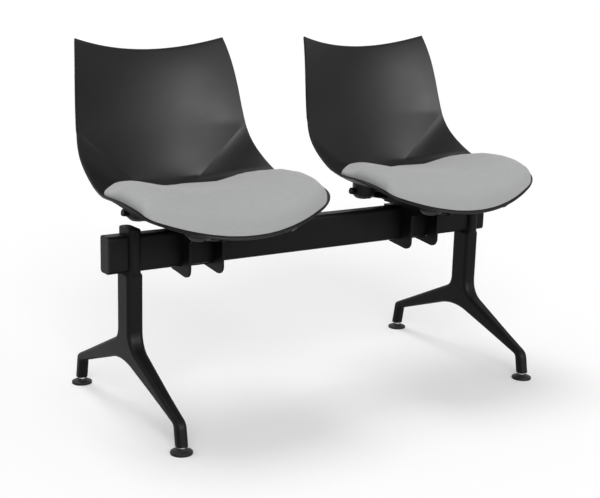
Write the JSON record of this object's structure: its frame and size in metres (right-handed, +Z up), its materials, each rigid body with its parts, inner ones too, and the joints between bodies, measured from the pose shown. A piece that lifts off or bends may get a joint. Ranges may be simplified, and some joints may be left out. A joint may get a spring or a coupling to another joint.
{
  "type": "beam seating",
  "caption": "Beam seating for waiting rooms: shell seats with upholstered pads, clamped to a rectangular beam on cast legs with levelling glides.",
  "frame": {"origin": "on the floor, midway between the seat centres and midway between the front and the rear glides", "axes": "+X along the beam, +Z up, -Y towards the side that a sitter faces"},
  "size_m": [1.0904, 0.536, 0.7985],
  "materials": {
    "black_coated_steel": "satin black powder coat",
    "black_coated_casting": "satin black powder coat on cast aluminium",
    "black_cap_plastic": "moulded black nylon",
    "dark_grey_plastic": "moulded dark grey nylon",
    "glide_plastic": "moulded black nylon, scuffed underside",
    "black_shell_plastic": "moulded black plastic with a fine grain",
    "light_grey_fabric": "light grey woven upholstery over foam",
    "plywood": "plain birch ply",
    "zinc_steel": "zinc plated",
    "blackened_steel": "black oxide"
  },
  "bodies": {
    "frame": {"beam_tube": "black_coated_steel", "left_end_cap": "black_cap_plastic", "left_leg": "black_coated_casting", "left_leg_screws": "blackened_steel", "left_leg_inserts": "zinc_steel", "left_front_tube": "black_coated_steel", "left_rear_tube": "black_coated_steel", "left_seat_shell": "black_shell_plastic", "left_pad_board": "plywood", "left_seat_pad": "light_grey_fabric", "left_pad_screws": "blackened_steel", "left_cup_screws": "blackened_steel", "left_mount_cups": "dark_grey_plastic", "left_tube_caps": "black_cap_plastic", "left_outer_hook": "black_coated_steel", "left_inner_hook": "black_coated_steel", "left_clamp_bridge": "black_coated_steel", "left_clamp_keeper": "black_coated_steel", "left_clamp_bolts": "zinc_steel", "left_clamp_nuts": "zinc_steel", "right_end_cap": "black_cap_plastic", "right_leg": "black_coated_casting", "right_leg_screws": "blackened_steel", "right_leg_inserts": "zinc_steel", "right_front_tube": "black_coated_steel", "right_rear_tube": "black_coated_steel", "right_seat_shell": "black_shell_plastic", "right_pad_board": "plywood", "right_seat_pad": "light_grey_fabric", "right_pad_screws": "blackened_steel", "right_cup_screws": "blackened_steel", "right_mount_cups": "dark_grey_plastic", "right_tube_caps": "black_cap_plastic", "right_outer_hook": "black_coated_steel", "right_inner_hook": "black_coated_steel", "right_clamp_bridge": "black_coated_steel", "right_clamp_keeper": "black_coated_steel", "right_clamp_bolts": "zinc_steel", "right_clamp_nuts": "zinc_steel"},
    "left_front_glide_base": {"left_front_glide_base": "glide_plastic"},
    "left_front_glide_stud": {"left_front_glide_stud": "zinc_steel"},
    "left_rear_glide_base": {"left_rear_glide_base": "glide_plastic"},
    "left_rear_glide_stud": {"left_rear_glide_stud": "zinc_steel"},
    "right_front_glide_base": {"right_front_glide_base": "glide_plastic"},
    "right_front_glide_stud": {"right_front_glide_stud": "zinc_steel"},
    "right_rear_glide_base": {"right_rear_glide_base": "glide_plastic"},
    "right_rear_glide_stud": {"right_rear_glide_stud": "zinc_steel"}
  },
  "joints": [
    {"name": "left_front_lift", "type": "slide", "parent": "frame", "child": "left_front_glide_base", "axis": [0, 0, -1], "range_m": [0, 0.01]},
    {"name": "left_front_turn", "type": "hinge", "parent": "left_front_glide_base", "child": "left_front_glide_stud", "pos_m": [-0.4685, -0.2448, 0.005], "axis": [0, 0, 1], "range_deg": [0, 2880]},
    {"name": "left_rear_lift", "type": "slide", "parent": "frame", "child": "left_rear_glide_base", "axis": [0, 0, -1], "range_m": [0, 0.01]},
    {"name": "left_rear_turn", "type": "hinge", "parent": "left_rear_glide_base", "child": "left_rear_glide_stud", "pos_m": [-0.4685, 0.2448, 0.005], "axis": [0, 0, 1], "range_deg": [0, 2880]},
    {"name": "right_front_lift", "type": "slide", "parent": "frame", "child": "right_front_glide_base", "axis": [0, 0, -1], "range_m": [0, 0.01]},
    {"name": "right_front_turn", "type": "hinge", "parent": "right_front_glide_base", "child": "right_front_glide_stud", "pos_m": [0.4685, -0.2448, 0.005], "axis": [0, 0, 1], "range_deg": [0, 2880]},
    {"name": "right_rear_lift", "type": "slide", "parent": "frame", "child": "right_rear_glide_base", "axis": [0, 0, -1], "range_m": [0, 0.01]},
    {"name": "right_rear_turn", "type": "hinge", "parent": "right_rear_glide_base", "child": "right_rear_glide_stud", "pos_m": [0.4685, 0.2448, 0.005], "axis": [0, 0, 1], "range_deg": [0, 2880]}
  ],
  "couplings": [
    {"joint": "left_front_lift", "follows": "left_front_turn", "m_per_rad": 0.00019894},
    {"joint": "left_rear_lift", "follows": "left_rear_turn", "m_per_rad": 0.00019894},
    {"joint": "right_front_lift", "follows": "right_front_turn", "m_per_rad": 0.00019894},
    {"joint": "right_rear_lift", "follows": "right_rear_turn", "m_per_rad": 0.00019894}
  ]
}
